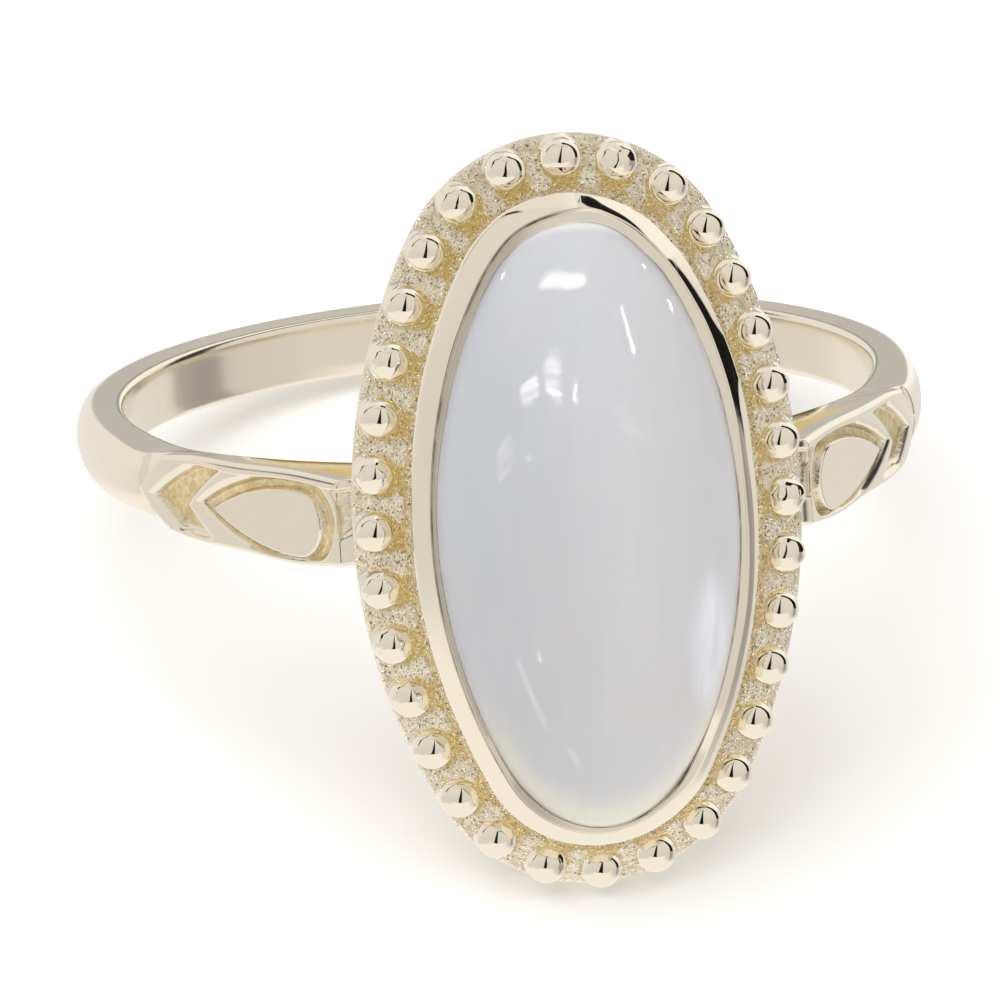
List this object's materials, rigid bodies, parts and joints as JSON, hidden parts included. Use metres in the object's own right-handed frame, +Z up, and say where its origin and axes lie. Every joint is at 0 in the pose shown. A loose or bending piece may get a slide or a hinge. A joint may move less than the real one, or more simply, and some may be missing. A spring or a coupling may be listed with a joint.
{
  "type": "moonstone ring",
  "caption": "Finger ring with a long oval moonstone cabochon in a folded bezel, a sloping beaded frame, carved shoulders and a plain half-round band, lying on its side.",
  "frame": {"origin": "on the floor under the middle of the ring's box, with the ring lying on its side as it rests by itself", "axes": "-Y towards the front, where the stone faces and leans back; +X across the finger; +Z up from the floor"},
  "size_m": [0.0196, 0.0246, 0.0163],
  "materials": {
    "gold": "pale yellow gold, polished band, bezel and beads, matte cast frame and grooves",
    "moonstone": "polished milky cabochon with a soft bluish sheen"
  },
  "bodies": {
    "root": {"ring_mount": "gold", "moonstone": "moonstone"}
  },
  "joints": []
}
